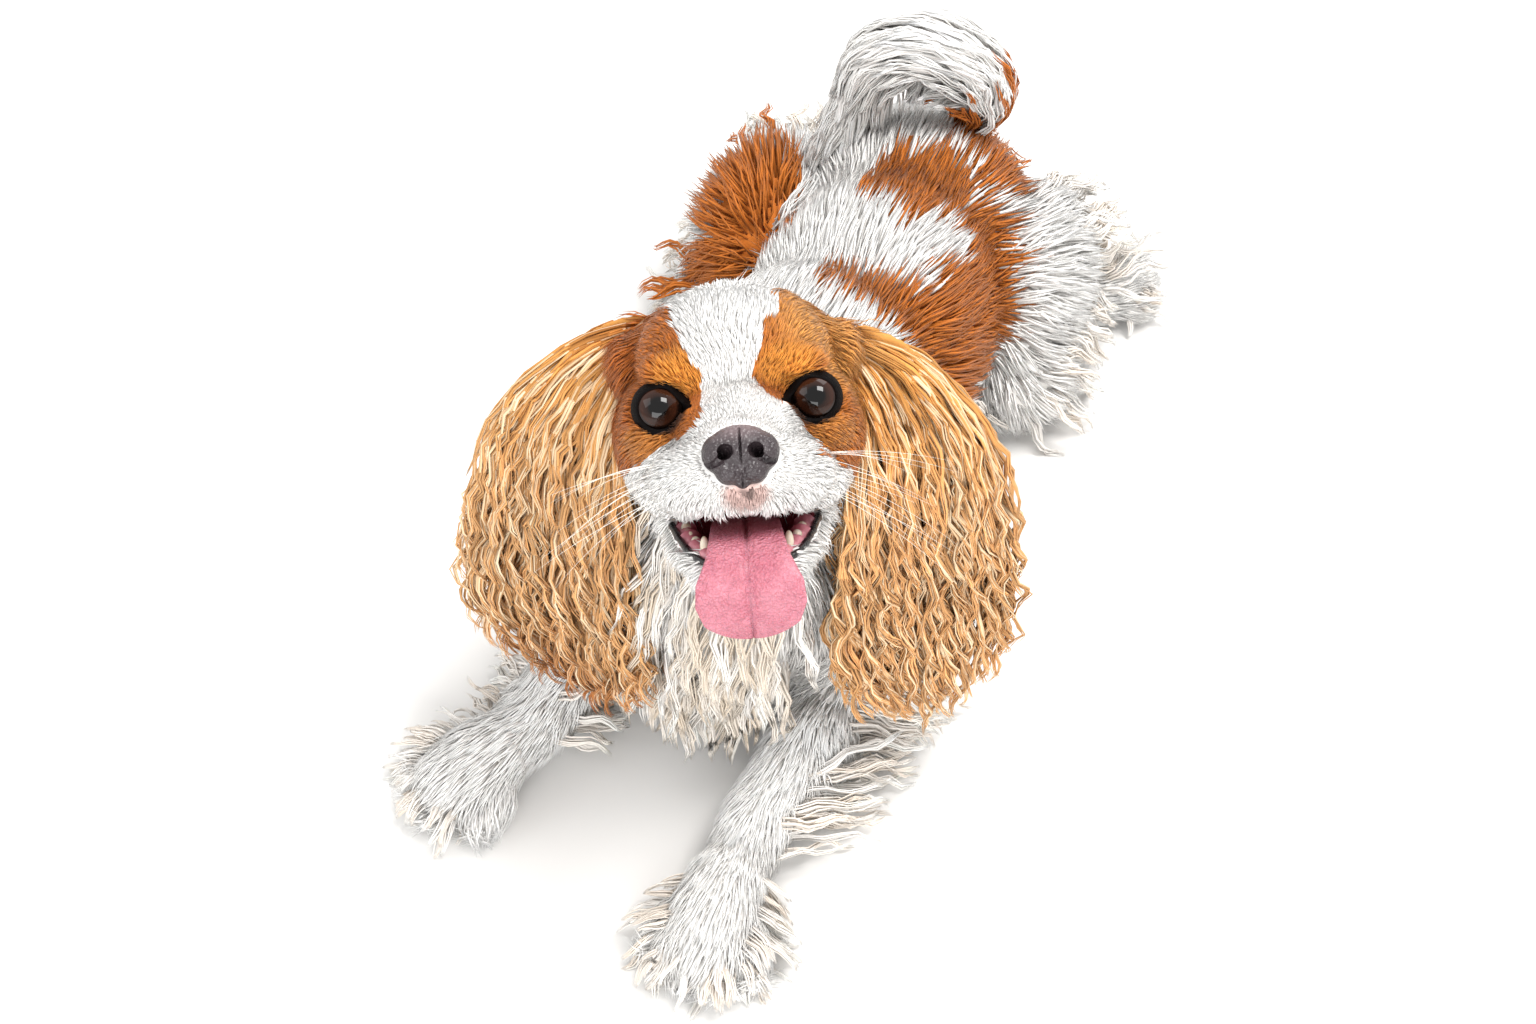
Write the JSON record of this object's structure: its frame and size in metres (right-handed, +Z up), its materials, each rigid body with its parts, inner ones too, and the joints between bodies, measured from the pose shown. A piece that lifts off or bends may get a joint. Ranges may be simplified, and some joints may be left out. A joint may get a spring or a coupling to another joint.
{
  "type": "cavalier king charles spaniel",
  "caption": "Life-size toy spaniel with long feathered ears, lying on its front with its head raised, mouth open and plumed tail curled over.",
  "frame": {"origin": "middle of the bounding box, on the floor under the trunk", "axes": "+Z up, the dog's head end towards -Y, its left side towards +X"},
  "size_m": [0.2734, 0.5326, 0.3085],
  "materials": {
    "eye": "wet dark brown eye",
    "golden_coat": "long wavy golden hair",
    "nose_leather": "damp grained nose leather",
    "teeth": "polished tooth",
    "tongue": "soft wet pink",
    "white_coat": "soft white and chestnut coat"
  },
  "bodies": {
    "root": {"ear_left": "golden_coat", "ear_right": "golden_coat", "eye_left": "eye", "eye_right": "eye", "foreleg_left": "white_coat", "foreleg_right": "white_coat", "head": "white_coat", "hindleg_left": "white_coat", "hindleg_right": "white_coat", "jaw": "white_coat", "neck": "white_coat", "nose": "nose_leather", "paw_front_left": "white_coat", "paw_front_right": "white_coat", "paw_hind_left": "white_coat", "paw_hind_right": "white_coat", "rump": "white_coat", "tail_base": "white_coat", "tail_tip": "white_coat", "teeth_lower": "teeth", "tongue": "tongue", "torso": "white_coat", "upper_arm_left": "white_coat", "upper_arm_right": "white_coat"}
  },
  "joints": []
}
